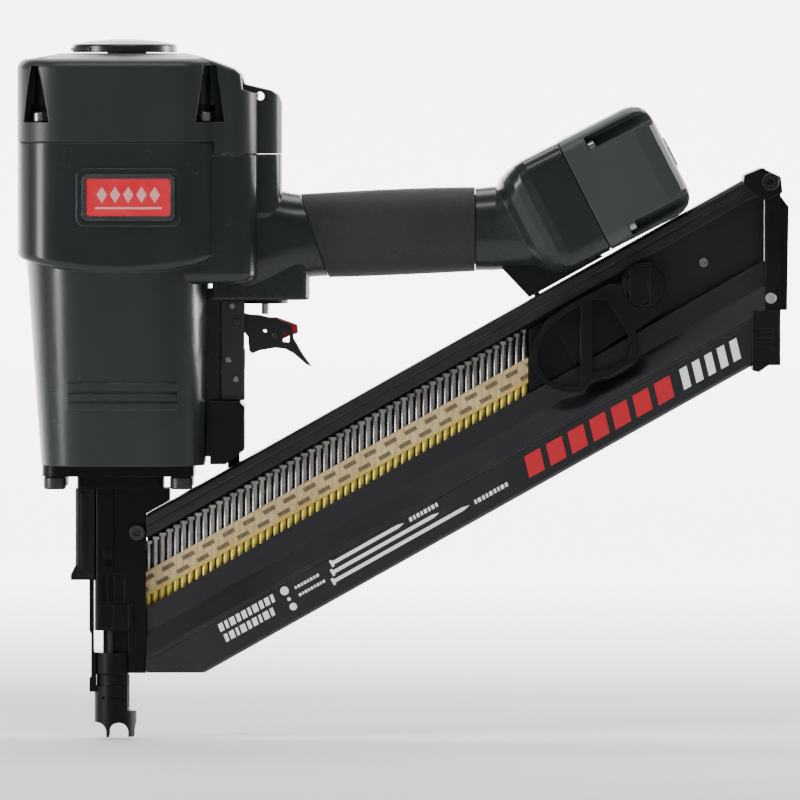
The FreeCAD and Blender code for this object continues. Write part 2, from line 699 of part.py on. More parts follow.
def trigger_bracket():
    outline = [(54.6, 180.2), (54.6, 233.4), (60.0, 240.4), (66.9, 241.8), (66.9, 180.2)]
    sides = both_sides(outline, (8.0, 11.0))
    web = box((54.6, 57.0), (-11.0, 11.0), (180.2, 233.4))
    body = fuse(sides + [web])
    return cut(body, [
        box((48.0, 54.4), (-20, 20), (150, 260)),
        box((53.0, 110.0), (-17.2, 17.2), (BOSS_LOW - 0.2, 260.0)),
        box((58.4, 69.0), (6.0, 12.0), (196.0, 219.0)),
        cross_rod(2.05, PIVOT, (-20, 20)),
    ] + [cross_rod(1.55, at, (-20, 20)) for at in BRACKET_PINS])


def bracket_pins():
    return [cross_rod(1.5, at, (-11.8, 11.8)) for at in BRACKET_PINS]


def rear_cover():
    outline = [(48.6, 146.2), (57.0, 146.2), (67.0, 154.0), (67.0, 177.0), (64.0, 180.0), (48.6, 180.0)]
    inner = [(44.0, 140.0), (54.0, 140.0), (64.4, 155.0), (64.4, 190.0), (44.0, 190.0)]
    shell = plate(outline, (-17.0, 20.4)).cut(plate(inner, (-14.6, 18.0)))
    web = box((54.5, 56.6), (-15.0, 15.0), (150.0, 179.0)).cut(box((50, 60), (11.0, 20), (140, 180)))
    cover = fuse([shell, web]).cut(box((57.0, 64.8), (13.8, 17.6), (140.0, 160.0)))
    skin = lower_body(0.25)
    return cut(cover, [skin] + [rod(2.3, (50.0, 0, z), (60.0, 0, z)) for z in (156.0, 172.0)])


def cover_screws():
    screw = cap_screw(3.6, 3.0, 2.0, 9.0)
    return [turned(screw, (0, 1, 0), 90.0, (56.6, 0, z)) for z in (156.0, 172.0)]


# ---------------------------------------------------------------- nose and safety

def nose_pocket(side):
    """Ribbed pocket and button hole on one side face of the nose."""
    y = sorted((side * 7.4, side * 12.0))
    pocket = box((-9.6, 2.7), y, (72.0, 87.0))
    for x in (-6.2, -2.2):
        pocket = pocket.cut(box((x - 0.5, x + 0.5), y, (71.0, 88.0)))
    return [pocket, rod(1.9, (-5.4, side * 7.2, 93.4), (-5.4, side * 12.0, 93.4))]


def nose_body():
    """Flange under the body, and the front wall of the drive channel down to the muzzle."""
    flange = flat_plate(-0.3, 0, 81.0, 56.0, 9.0, (140.0, BASE_Z))
    spigot = flat_plate(0.7, 0, 46.4, 24.0, 4.0, (133.2, 141.0))
    wall = box((NOSE_FRONT, CHANNEL_FRONT), (-9.0, 9.0), (57.0, 134.0))
    wall = soften(wall, 2.2, lambda p, e: p.x < NOSE_FRONT + 0.1 and is_line_along(e, (0, 0, 1)))
    lip = upright(7.6, MUZZLE_X, 0, (33.0, 58.0)).common(box((-20, CHANNEL_FRONT), (-20, 20), (33, 58)))
    band = box((-11.5, CHANNEL_FRONT), (-9.9, 9.9), (58.3, 70.6))
    band = band.cut(box((-9.4, 0), (-20, -9.3), (58, 71))).cut(box((-9.4, 0), (9.3, 20), (58, 71)))
    body = fuse([flange, spigot, wall, lip, band])
    for side in (-1, 1):
        button = rod(2.5, (-6.0, side * 8.0, 98.4), (-6.0, side * 10.0, 98.4))
        body = body.fuse(button)
    tools = [upright(CHANNEL_R, 0, 0, (10.0, 150.0))] + nose_pocket(-1) + nose_pocket(1)
    for x, y in NOSE_SCREWS:
        tools.append(upright(3.3, x, y, (130.0, 150.0)))
    return cut(body, tools)


def nose_cheeks():
    """Side plates of the drive channel; they close the gap up to the magazine."""
    outline = [(CHANNEL_FRONT, 57.0), (CHANNEL_FRONT, 133.2), (27.0, 133.2), (27.0, 126.6), (14.2, 119.4),
               (14.2, 34.2), (4.8, 34.2), (4.8, 57.0)]
    low = [(CHANNEL_FRONT, 34.2), (5.4, 34.2), (5.4, 58.0), (CHANNEL_FRONT, 58.0)]
    band = [(CHANNEL_FRONT, 58.3), (7.0, 58.3), (7.0, 70.6), (CHANNEL_FRONT, 70.6)]
    inner = [(CHANNEL_FRONT, 58.0), (4.8, 58.0), (4.8, 71.0), (CHANNEL_FRONT, 71.0)]
    cheeks = []
    for side in (-1, 1):
        def at(low_y, high_y):
            return sorted((side * low_y, side * high_y))
        cheek = fuse([plate(outline, at(SLOT_HALF, 8.3)), plate(low, at(SLOT_HALF, 5.4)),
                      plate(band, at(SLOT_HALF, 9.9))])
        tools = nose_pocket(side) + [plate(inner, at(9.3, 12.0))]
        if side < 0:
            tools.append(rod(2.1, (9.6, -12.0, 109.6), (9.6, -4.0, 109.6)))
        cheeks.append(cut(cheek, tools))
    return cheeks


def nose_muzzle():
    """Closed tube at the end of the drive channel, inside the contact foot."""
    tube_end = upright(7.6, MUZZLE_X, 0, (15.0, 33.0)).cut(box((5.2, 20.0), (-12.0, 12.0), (10.0, 44.0)))
    return tube_end.cut(upright(CHANNEL_R, 0, 0, (10.0, 44.0)))


def nose_screws():
    screw = cap_screw(6.0, 6.8, 3.0, 17.0)
    return [turned(screw, (1, 0, 0), 180.0, (x, y, 140.0)) for x, y in NOSE_SCREWS]


def safety_guide():
    shell = box((-23.5, NOSE_FRONT), (-9.0, 9.0), (86.0, 133.0))
    shell = soften(shell, 2.5, lambda p, e: p.x < -23.4 and is_line_along(e, (0, 0, 1)))
    foot = plate([(-23.5, 92.0), (-26.0, 87.0), (-26.0, 84.0), (NOSE_FRONT, 84.0), (NOSE_FRONT, 92.0)],
                 (-8.8, 8.8))
    ridge = box((-20.4, -18.0), (-9.8, -8.8), (90.0, 131.0))
    return cut(fuse([shell, foot, ridge]), [
        box((-21.6, -12.0), (-6.2, 6.2), (80.0, 133.0 - 1.8)),
        box((-21.6, -12.0), (5.0, 12.0), (103.0, 126.5)),
        box((-30.0, -11.0), (-6.2, 6.2), (80.0, 84.5)),
    ])


def tooth_gap(centre, across):
    """Round-topped gap between two teeth of the foot, cut right across it."""
    low = 2.6
    if across:
        arch = rod(5.1, (-20.0, centre, low), (20.0, centre, low))
        return arch.fuse(box((-20, 20), (centre - 5.1, centre + 5.1), (-3.0, low)))
    arch = cross_rod(5.1, (centre, low), (-20.0, 20.0))
    return arch.fuse(box((centre - 5.1, centre + 5.1), (-20, 20), (-3.0, low)))


def contact_foot():
    x = -2.3
    ring = upright(11.3, x, 0, (0.0, 27.3))
    collar = upright(10.9, x, 0, (33.2, 45.0))
    collar = soften(collar, 1.0, lambda p, e: p.z < 33.3)
    waist = upright(10.1, x, 0, (27.0, 34.0))
    stem = plate([(-16.2, 112.0), (-16.2, 57.0), (-15.2, 55.0), (-15.2, 32.5), (-16.2, 31.0), (-16.2, 24.0),
                  (-12.6, 24.0), (-12.6, 44.0), (-13.8, 46.0), (-13.8, 112.0)], (-5.0, 5.0))
    eye = plate([(-16.0, 106.0), (-16.0, 112.0), (-20.8, 112.0), (-20.8, 106.0)], (-5.0, 5.0))
    bore = upright(8.1, MUZZLE_X, 0, (-1.0, 50.0))
    rear = box((4.4, 20.0), (-20, 20), (14.0, 60.0))
    ring = cut(ring, [tooth_gap(-12.2, False), tooth_gap(-0.4, False), tooth_gap(0.0, True)])
    body = fuse([ring, waist, collar]).cut(bore).cut(rear)
    groove = upright(12.0, x, 0, (20.0, 21.6)).cut(upright(10.4, x, 0, (20.0, 21.6)))
    return fuse([body, stem.cut(bore), eye]).cut(groove.cut(box((-30, -9), (-9, 9), (0, 40))))


def safety_link():
    tab_z = (203.6, 207.2)
    arm = plate([(-20.6, 106.2), (-12.4, 106.2), (18.0, 108.0), (44.0, 113.0), (64.0, 126.0),
                 (64.0, 190.0), (67.0, 196.0), (67.0, 207.2), (59.2, 207.2), (59.2, 196.0),
                 (57.6, 190.0), (57.6, 131.0), (42.0, 121.0), (18.0, 116.0), (-12.4, 111.8),
                 (-20.6, 111.8)], (14.4, 16.8))
    cross = box((-20.6, -17.2), (5.0, 16.8), (106.2, 111.8))
    tab = box((60.0, 66.0), (-3.0, 16.8), tab_z)
    return fuse([arm, cross, tab])


# ---------------------------------------------------------------- magazine

def trimmed(shape):
    """Upright front and rear ends, and the level floor near the nose."""
    keep = box((MAG_FRONT, MAG_REAR), (-40, 40), (MAG_FLOOR, 400))
    return shape.common(keep)


def magazine_rail():
    outer = [(-RAIL_HALF, RAIL_LOW), (-RAIL_HALF, RAIL_TOP - 1.5), (1.5 - RAIL_HALF, RAIL_TOP),
             (RAIL_HALF - 1.5, RAIL_TOP), (RAIL_HALF, RAIL_TOP - 1.5), (RAIL_HALF, RAIL_LOW)]
    inner = [(-8.6, 3.0), (-8.6, 8.8), (8.6, 8.8), (8.6, 3.0)]
    bar = profile(outer, (-60.0, 460.0)).cut(profile(inner, (40.0, 460.0)))
    groove = box((-60, 460), (-RAIL_HALF - 1, 0.7 - RAIL_HALF), (5.2, 6.4))
    bar = trimmed(on_rail(bar.cut(groove)))
    return bar.cut(on_rail(upright(1.8, BRACKET_SCREW, 0, (-1, 12))))


def magazine_back_plate():
    sheet = box((-60.0, 460.0), (SLOT_HALF, 6.5), (LIP_TOP, RAIL_LOW))
    sheet = trimmed(on_rail(sheet))
    holes = [on_rail(rod(1.7, (s, -1, -17.2), (s, 10, -17.2))) for s in BACK_SCREWS]
    return cut(sheet, holes)


def magazine_channel():
    step = -43.9
    crease = -54.6
    lip = 6.5
    outer = [(-lip, LIP_TOP), (-lip, step), (-CHANNEL_HALF, crease), (-CHANNEL_HALF, CHANNEL_LOW + 1.5),
             (1.5 - CHANNEL_HALF, CHANNEL_LOW), (CHANNEL_HALF - 1.5, CHANNEL_LOW),
             (CHANNEL_HALF, CHANNEL_LOW + 1.5), (CHANNEL_HALF, crease), (lip, step), (lip, LIP_TOP),
             (SLOT_HALF, LIP_TOP), (SLOT_HALF, -70.0), (-SLOT_HALF, -70.0), (-SLOT_HALF, LIP_TOP)]
    bar = profile(outer, (-60.0, 460.0))
    for side in (-1, 1):
        y = sorted((side * 6.8, side * 12.6))
        bar = bar.cut(box((60.0, 460.0), y, (-74.8, -58.0)))
        groove = sorted((side * (CHANNEL_HALF - 0.6), side * (CHANNEL_HALF + 1)))
        bar = bar.cut(box((-60, 460), groove, (-57.4, -56.4)))
    return trimmed(on_rail(bar))


def magazine_screws():
    screw = cap_screw(2.6, 1.9, 1.6, 3.0)
    screws = []
    for s in BACK_SCREWS:
        level = turned(screw, (1, 0, 0), 90.0, (s, SLOT_HALF, -17.2))
        screws.append(on_rail(level.common(box((s - 9, s + 9), (2.0, 6.4), (-40, 0)))))
    return screws


def magazine_bracket():
    block = plate([(204.5, 250.5), (219.0, 235.2), (258.5, 257.0), (250.0, 262.0), (212.0, 256.0)],
                  (-10.0, 10.0))
    rail_top = on_rail(box((150, 400), (-30, 30), (-20, RAIL_TOP)))
    body = block.cut(rail_top)
    for shape in handle_core():
        body = body.cut(shape)
    solid = max(body.Solids, key=lambda s: s.Volume)
    return solid.cut(on_rail(upright(1.8, BRACKET_SCREW, 0, (9, 30))))


def bracket_screws():
    screw = cap_screw(3.4, 2.2, 1.6, 10.0)
    return on_rail(turned(screw, (1, 0, 0), 180.0, (BRACKET_SCREW, 0, 8.6)))


def nose_cheek_screw():
    screw = cap_screw(4.2, 3.0, 2.0, 3.0)
    return turned(screw, (1, 0, 0), 90.0, (9.6, -9.0, 109.6))


def end_bracket():
    spine = box((MAG_REAR + 0.2, 353.0), (-14.5, 14.5), (199.0, 296.0))
    bar = plate([(352.0, 228.4), (356.6, 228.4), (357.4, 283.6), (353.0, 289.4), (352.0, 289.4)],
                (-12.0, 12.0))
    top = plate([(333.0, 295.4), (333.4, 300.4), (342.9, 304.4), (353.0, 299.6), (354.0, 291.0),
                 (343.2, 286.8)], (-17.0, 17.0))
    low = plate([(338.0, 228.4), (338.0, 196.2), (341.5, 195.4), (352.6, 203.4), (352.6, 228.4)],
                (-17.6, 17.6))
    top = soften(top, 1.5, lambda p, e: is_line_along(e, (0, 1, 0)))
    body = fuse([spine, bar, top, low])
    mag = fuse([
        on_rail(box((330, 420), (-RAIL_HALF - 0.2, RAIL_HALF + 0.2), (LIP_TOP, RAIL_TOP + 0.2))),
        on_rail(box((330, 420), (-CHANNEL_HALF - 0.2, CHANNEL_HALF + 0.2), (CHANNEL_LOW - 0.2, LIP_TOP))),
    ]).common(box((300, MAG_REAR + 0.2), (-40, 40), (150, 400)))
    slots = [box((340.0, 349.0), (-20, -16.8), (z, z + 1.6)) for z in (207.0, 212.0, 217.0)]
    return cut(body, [mag] + slots + [rod(2.1, (347.8, y, 234.9), (347.8, 0, 234.9)) for y in (-16, 16)]
               + [rod(2.1, (347.4, y, 297.0), (347.4, 0, 297.0)) for y in (-20, 20)])


def end_bracket_screws():
    small = cap_screw(2.9, 2.2, 2.0, 9.0)
    large = cap_screw(4.6, 3.2, 2.0, 9.0)
    screws = []
    for side in (-1, 1):
        screws.append(turned(small, (1, 0, 0), -90.0 * side, (347.8, side * 14.5, 234.9)))
        screws.append(turned(large, (1, 0, 0), -90.0 * side, (347.4, side * 17.0, 297.0)))
    return screws


def nails():
    strip = []
    for k in range(NAIL_COUNT):
        x = NAIL_FIRST + NAIL_PITCH * k
        top = rail_line(x, NAIL_DROP)
        tip = top - NAIL_LEN
        head = upright(NAIL_HEAD_R, x, 0, (top - NAIL_HEAD_H, top))
        head = head.common(box((x - 9, x + 2.1), (-9, 9), (top - 9, top + 1)))
        shank = upright(NAIL_R, x, 0, (tip + 4.0, top - 0.5))
        point = Part.makeCone(0.2, NAIL_R, 4.0, vec(x, 0, tip), vec(0, 0, 1))
        strip.append(fuse([head, shank, point]))
    return strip


def collation_tape():
    first = NAIL_FIRST - 2.0
    last = NAIL_FIRST + NAIL_PITCH * (NAIL_COUNT - 1) + 1.9
    outline = [(first, rail_line(first, 15.5)), (last, rail_line(last, 15.5)),
               (last, rail_line(last, 27.2)), (first, rail_line(first, 27.2))]
    return both_sides(outline, (NAIL_R + 0.05, NAIL_R + 0.5))


PUSHER_OUTER = [(261.0, 242.4), (240.4, 231.6), (227.6, 222.6), (221.8, 212.2), (220.0, 204.0),
                (220.6, 198.6), (223.4, 193.6), (230.6, 187.0), (240.2, 184.2), (248.6, 185.2),
                (252.0, 190.8), (261.2, 193.0), (271.8, 199.2), (276.6, 202.0), (276.8, 210.0),
                (275.6, 217.6), (292.4, 230.0), (292.4, 242.4), (267.8, 242.4)]
PUSHER_FRONT = [(246.4, 232.0), (232.8, 223.0), (226.0, 215.2), (223.2, 206.0), (223.9, 198.6),
                (229.8, 191.2), (238.2, 187.4), (246.4, 187.8)]
PUSHER_REAR = [(252.6, 234.0), (260.0, 234.6), (263.6, 229.0), (270.8, 217.4), (273.4, 210.0),
               (271.8, 203.0), (261.2, 196.4), (252.6, 195.2)]
DRUM = (280.1, 241.6)


def tongue_shape(grow, y):
    """Upright tongue with a round foot on the drum's cover."""
    x = DRUM[0] - 3.0
    half = 4.8 + grow
    return fuse([box((x - half, x + half), y, (235.6, 256.0)), cross_rod(half, (x, 235.6), y)])


def pusher():
    shell = plate(PUSHER_OUTER, (-18.0, -11.4))
    ring = cross_rod(12.3, DRUM, (-18.0, -11.4))
    base = on_rail(box((262.0, 303.0), (-11.5, -7.0), (-30.0, -2.0)))
    x0 = NAIL_FIRST + NAIL_PITCH * (NAIL_COUNT - 1) + 2.6
    low = 31.4
    high = 2.2
    tongue = plate([(x0, rail_line(x0, low)), (x0, rail_line(x0, high)), (262.0, rail_line(262.0, high)),
                    (262.0, rail_line(262.0, low))], (-7.4, 3.9))
    tongue = tongue.cut(plate([(x0 + 8, rail_line(x0 + 8, 26)), (x0 + 8, rail_line(x0 + 8, 8)),
                               (240.0, rail_line(240.0, 8)), (240.0, rail_line(240.0, 26))], (-3.0, 5.0)))
    bridge = plate([(246.4, 226.0), (246.4, 200.0), (252.6, 204.0), (252.6, 230.0)], (-11.6, -7.0))
    bridge = bridge.common(on_rail(box((240, 300), (-20, 0), (-30.0, -2.0))))
    body = fuse([shell, ring, base, tongue, bridge])
    groove = tongue_shape(1.3, (-20.0, -16.0)).cut(tongue_shape(0.0, (-21.0, -15.0)))
    groove = groove.common(cross_rod(10.6, DRUM, (-20.0, -15.0)))
    rim = tube(12.0, 11.1, (DRUM[0], -20.0, DRUM[1]), (DRUM[0], -17.3, DRUM[1]))
    return cut(body, [
        plate(PUSHER_FRONT, (-20, -11.0)),
        plate(PUSHER_REAR, (-20, -11.0)),
        cross_rod(9.9, DRUM, (-16.2, -11.4)),
        groove,
        rim,
    ])


def pusher_spring():
    coils = []
    for radius in (9.2, 7.6, 6.0):
        inner = cross_rod(radius - 1.2, DRUM, (-17.0, -11.0))
        coils.append(cross_rod(radius, DRUM, (-15.8, -12.2)).cut(inner))
    hub = cross_rod(4.4, DRUM, (-16.0, -11.8)).cut(cross_rod(1.8, DRUM, (-17.0, -11.0)))
    spoke = plate([(DRUM[0] + 3.6, DRUM[1] - 0.5), (DRUM[0] + 9.0, DRUM[1] - 0.5),
                   (DRUM[0] + 9.0, DRUM[1] + 0.5), (DRUM[0] + 3.6, DRUM[1] + 0.5)], (-15.8, -12.2))
    return fuse(coils + [hub, spoke])


PARTS = {
    "housing": housing,
    "cylinder_cap": cylinder_cap,
    "cap_gasket": cap_gasket,
    "cap_screws": cap_screws,
    "exhaust_deflector": exhaust_deflector,
    "deflector_screw": deflector_screw,
    "badge_frame": badge_frame,
    "badge_plate": badge_plate,
    "head_valve": head_valve,
    "head_valve_seal": lambda: tube(33.0, 28.4, (0, 0, 306.2), (0, 0, 307.6)),
    "head_valve_spring": lambda: spring(9.0, 1.0, 320.1, 351.9, 0, 0, 6),
    "cylinder_sleeve": cylinder_sleeve,
    "sleeve_seals": sleeve_seals,
    "piston": piston,
    "piston_ring": piston_ring,
    "driver_blade": driver_blade,
    "bumper": bumper,
    "grip_sleeve": grip_sleeve,
    "end_cap": end_cap,
    "end_cap_gasket": end_cap_gasket,
    "end_cap_screws": end_cap_screws,
    "inlet_bush": inlet_bush,
    "trigger": trigger,
    "trigger_pin": trigger_pin,
    "trigger_lever": trigger_lever,
    "lever_pin": lever_pin,
    "trigger_spring": trigger_spring,
    "trigger_valve_body": trigger_valve_body,
    "valve_stem": valve_stem,
    "valve_spring": lambda: spring(4.2, 0.5, 243.1, 254.4, VALVE_X, 0, 5),
    "trigger_bracket": trigger_bracket,
    "bracket_pins": bracket_pins,
    "rear_cover": rear_cover,
    "cover_screws": cover_screws,
    "nose_body": nose_body,
    "nose_cheeks": nose_cheeks,
    "nose_muzzle": nose_muzzle,
    "nose_screws": nose_screws,
    "cheek_screw": nose_cheek_screw,
    "safety_guide": safety_guide,
    "contact_foot": contact_foot,
    "safety_link": safety_link,
    "safety_spring": lambda: spring(2.0, 0.5, 112.1, 131.0, -19.0, 0, 7),
    "magazine_rail": magazine_rail,
    "magazine_back_plate": magazine_back_plate,
    "magazine_channel": magazine_channel,
    "magazine_screws": magazine_screws,
    "magazine_bracket": magazine_bracket,
    "bracket_screws": bracket_screws,
    "end_bracket": end_bracket,
    "end_bracket_screws": end_bracket_screws,
    "nails": nails,
    "collation_tape": collation_tape,
    "pusher": pusher,
    "pusher_spring": pusher_spring,
}


def main():
    os.makedirs("parts", exist_ok=True)
    for name, make in PARTS.items():
        shape = make()
        if isinstance(shape, list):
            shape = Part.makeCompound(shape)
        shape.exportStep(os.path.join("parts", name + ".step"))
        print(name, len(shape.Solids), "solids", round(shape.Volume, 1), "mm3")


main()
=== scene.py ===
import math

import bmesh
import bpy
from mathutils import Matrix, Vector


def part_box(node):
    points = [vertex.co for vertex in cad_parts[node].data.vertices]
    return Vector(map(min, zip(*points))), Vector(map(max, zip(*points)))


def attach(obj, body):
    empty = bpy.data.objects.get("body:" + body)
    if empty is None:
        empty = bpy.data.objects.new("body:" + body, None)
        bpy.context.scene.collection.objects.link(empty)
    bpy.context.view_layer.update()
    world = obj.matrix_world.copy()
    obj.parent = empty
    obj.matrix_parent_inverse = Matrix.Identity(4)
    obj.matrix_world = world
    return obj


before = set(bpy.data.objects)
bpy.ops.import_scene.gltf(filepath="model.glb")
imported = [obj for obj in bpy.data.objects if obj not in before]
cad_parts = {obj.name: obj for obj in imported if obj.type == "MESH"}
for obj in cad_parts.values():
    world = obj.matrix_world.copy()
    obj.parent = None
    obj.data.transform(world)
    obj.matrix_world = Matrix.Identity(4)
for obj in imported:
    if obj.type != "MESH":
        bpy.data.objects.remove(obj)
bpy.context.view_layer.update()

MM = 0.001
RAIL_ANGLE = math.radians(29.3)
RAIL_LIFT = 98.0
FACE_Y = -15.0
NAIL_PITCH = 3.8
SWEEP_START = 8.0
SWEEP_RADIUS = 1.6
WALL_TOP = 6.0
FRAME_WIDE = 0.428
CAMERA_AWAY = 5.5
CAMERA_RISE = 2.0


# ---------------------------------------------------------------- shader helpers

class Shader:
    """One node material, built step by step on object coordinates."""

    def __init__(self, name):
        self.mat = bpy.data.materials.new(name)
        self.mat.use_nodes = True
        self.tree = self.mat.node_tree
        self.bsdf = self.tree.nodes["Principled BSDF"]
        self.coords = self.tree.nodes.new("ShaderNodeTexCoord").outputs["Object"]

    def node(self, kind, **values):
        made = self.tree.nodes.new(kind)
        for key, value in values.items():
            setattr(made, key, value)
        return made

    def link(self, source, target):
        if hasattr(source, "bl_idname") or hasattr(source, "default_value"):
            self.tree.links.new(source, target)
        else:
            target.default_value = source

    def math(self, operation, a, b=0.0, c=0.0):
        made = self.node("ShaderNodeMath", operation=operation)
        for value, socket in zip((a, b, c), made.inputs):
            self.link(value, socket)
        return made.outputs[0]

    def axes(self, vector=None):
        split = self.node("ShaderNodeSeparateXYZ")
        self.link(vector or self.coords, split.inputs[0])
        return split.outputs

    def mapped(self, scale):
        made = self.node("ShaderNodeMapping")
        made.inputs["Scale"].default_value = scale
        self.link(self.coords, made.inputs["Vector"])
        return made.outputs[0]

    def noise(self, scale, detail=3.0, rough=0.5, vector=None):
        made = self.node("ShaderNodeTexNoise")
        self.link(vector or self.coords, made.inputs["Vector"])
        made.inputs["Scale"].default_value = scale
        made.inputs["Detail"].default_value = detail
        made.inputs["Roughness"].default_value = rough
        return made.outputs["Fac"]

    def cells(self, scale, vector=None):
        made = self.node("ShaderNodeTexVoronoi")
        self.link(vector or self.coords, made.inputs["Vector"])
        made.inputs["Scale"].default_value = scale
        return made.outputs["Distance"]

    def remap(self, value, low, high, to_low=0.0, to_high=1.0):
        made = self.node("ShaderNodeMapRange")
        self.link(value, made.inputs["Value"])
        made.inputs["From Min"].default_value = low
        made.inputs["From Max"].default_value = high
        made.inputs["To Min"].default_value = to_low
        made.inputs["To Max"].default_value = to_high
        return made.outputs["Result"]

    def mix(self, amount, a, b):
        made = self.node("ShaderNodeMix", data_type="RGBA")
        self.link(amount, made.inputs[0])
        for value, socket in ((a, made.inputs[6]), (b, made.inputs[7])):
            self.link(colour(value) if isinstance(value, tuple) else value, socket)
        return made.outputs[2]

    def set(self, name, value):
        self.link(colour(value) if isinstance(value, tuple) else value, self.bsdf.inputs[name])

    def corners(self, radius):
        """Normals rounded at the corners, and a mask of where that changes them."""
        rounded = self.node("ShaderNodeBevel", samples=6)
        rounded.inputs["Radius"].default_value = radius * MM
        flat = self.node("ShaderNodeNewGeometry").outputs["Normal"]
        turn = self.node("ShaderNodeVectorMath", operation="DOT_PRODUCT")
        self.link(rounded.outputs[0], turn.inputs[0])
        self.link(flat, turn.inputs[1])
        return rounded.outputs[0], self.remap(turn.outputs["Value"], 0.995, 0.90)

    def relief(self, height, strength, distance, normal=None):
        bump = self.node("ShaderNodeBump")
        bump.inputs["Strength"].default_value = strength
        bump.inputs["Distance"].default_value = distance * MM
        self.link(height, bump.inputs["Height"])
        if normal:
            self.link(normal, bump.inputs["Normal"])
        self.link(bump.outputs[0], self.bsdf.inputs["Normal"])

    def band(self, value, low, high):
        """1 inside an interval, 0 outside."""
        above = self.math("GREATER_THAN", value, low)
        below = self.math("LESS_THAN", value, high)
        return self.math("MULTIPLY", above, below)


def colour(rgb):
    return (rgb[0], rgb[1], rgb[2], 1.0)


def times(rgb, factor, lift=0.0):
    return tuple(min(1.0, c * factor + lift) for c in rgb)


def painted(name, tone, rough, grain, strength, radius=0.9, gloss=0.35, rub=0.5):
    """Sprayed casting: orange peel, cloudy sheen, handling dust and paint rubbed thin on corners."""
    s = Shader(name)
    normal, corner = s.corners(radius)
    cloud = s.noise(11.0, 5.0, 0.55)
    dust = s.remap(s.noise(190.0, 6.0, 0.7), 0.5, 0.8, 0.0, 0.3)
    rubbed = s.math("MULTIPLY", corner, s.remap(s.noise(70.0, 5.0, 0.65), 0.42, 0.62, 0.0, rub))
    base = s.mix(s.remap(cloud, 0.3, 0.7), times(tone, 0.93), times(tone, 1.12))
    base = s.mix(dust, base, times(tone, 1.3, 0.001))
    s.set("Base Color", s.mix(rubbed, base, times(tone, 3.0, 0.03)))
    uneven = s.math("MULTIPLY_ADD", dust, 0.5, cloud)
    s.set("Roughness", s.remap(uneven, 0.3, 0.9, rough - 0.02, rough + 0.06))
    s.set("Specular IOR Level", gloss)
    s.relief(s.noise(grain, 3.0, 0.6), strength, 0.1, normal)
    return s.mat


def plastic(name, tone, rough, grain=900.0, strength=0.12, radius=0.6, gloss=0.35):
    """Moulded plastic: spark-eroded grain, handled patches and slightly greyed corners."""
    s = Shader(name)
    normal, corner = s.corners(radius)
    cloud = s.noise(32.0, 5.0, 0.6)
    greyed = s.math("MULTIPLY", corner, s.remap(s.noise(90.0, 4.0, 0.6), 0.35, 0.65, 0.1, 0.6))
    base = s.mix(s.remap(cloud, 0.3, 0.7), times(tone, 0.8), times(tone, 1.35, 0.001))
    s.set("Base Color", s.mix(greyed, base, times(tone, 2.2, 0.012)))
    s.set("Roughness", s.remap(cloud, 0.25, 0.75, rough - 0.07, rough + 0.08))
    s.set("Specular IOR Level", gloss)
    s.relief(s.noise(grain, 2.0, 0.5), strength, 0.1, normal)
    return s.mat


def metal(name, tone, rough, along=(1, 1, 1), strength=0.1, stain=0.35, radius=0.3, metallic=1.0,
          gloss=0.5, bare=0.35):
    """Machined or drawn metal: streaks one way, dull stains, and brighter metal along the corners."""
    s = Shader(name)
    normal, corner = s.corners(radius)
    streak = s.noise(500.0, 4.0, 0.6, s.mapped(scale=along))
    cloud = s.noise(60.0, 4.0, 0.6)
    base = s.mix(s.remap(cloud, 0.4, 0.75, 0.0, stain), tone, times(tone, 0.5))
    base = s.mix(s.remap(streak, 0.35, 0.7, 0.0, 0.35), base, times(tone, 0.75))
    worn = s.math("MULTIPLY", corner, s.remap(s.noise(160.0, 4.0, 0.6), 0.4, 0.65, 0.0, bare))
    s.set("Base Color", s.mix(worn, base, times(tone, 1.6, 0.06)))
    s.set("Metallic", metallic)
    s.set("Roughness", s.remap(streak, 0.3, 0.7, rough - 0.06, rough + 0.1))
    s.set("Specular IOR Level", gloss)
    s.relief(streak, strength, 0.04, normal)
    return s.mat


def bracket_steel():
    """Zinc screws at the bottom of the rear bracket, blackened ones at its top."""
    s = Shader("bracket_steel")
    normal, corner = s.corners(0.3)
    z = s.axes()[2]
    dark = s.math("GREATER_THAN", z, 0.27)
    streak = s.noise(450.0, 4.0, 0.6)
    bright = s.mix(s.remap(streak, 0.3, 0.7), (0.42, 0.43, 0.44), (0.60, 0.61, 0.62))
    black = s.mix(s.remap(streak, 0.3, 0.7), (0.006, 0.0065, 0.007), (0.014, 0.015, 0.016))
    base = s.mix(dark, bright, black)
    s.set("Base Color", s.mix(s.math("MULTIPLY", corner, 0.3), base, (0.30, 0.30, 0.31)))
    s.set("Metallic", s.math("MULTIPLY_ADD", dark, -0.5, 1.0))
    s.set("Roughness", s.remap(streak, 0.3, 0.7, 0.26, 0.42))
    s.relief(streak, 0.1, 0.04, normal)
    return s.mat


def foam_rubber():
    """Cushioned grip: soft dimples over a fine open-cell grain, greyer where the hand rubs it."""
    s = Shader("grip_foam")
    normal, corner = s.corners(0.8)
    dimple = s.noise(95.0, 2.0, 0.5)
    grain = s.cells(1500.0)
    cloud = s.noise(26.0, 5.0, 0.6)
    base = s.mix(s.remap(cloud, 0.3, 0.7), (0.010, 0.011, 0.0115), (0.021, 0.0225, 0.0235))
    s.set("Base Color", s.mix(s.remap(grain, 0.15, 0.6, 0.0, 0.4), base, (0.04, 0.042, 0.043)))
    s.set("Roughness", s.remap(cloud, 0.3, 0.7, 0.6, 0.78))
    s.set("Specular IOR Level", 0.25)
    s.set("Sheen Weight", 0.08)
    s.set("Sheen Roughness", 0.4)
    height = s.math("MULTIPLY_ADD", dimple, 1.2, s.math("MULTIPLY", grain, 0.35))
    s.relief(height, 0.5, 0.5, normal)
    return s.mat


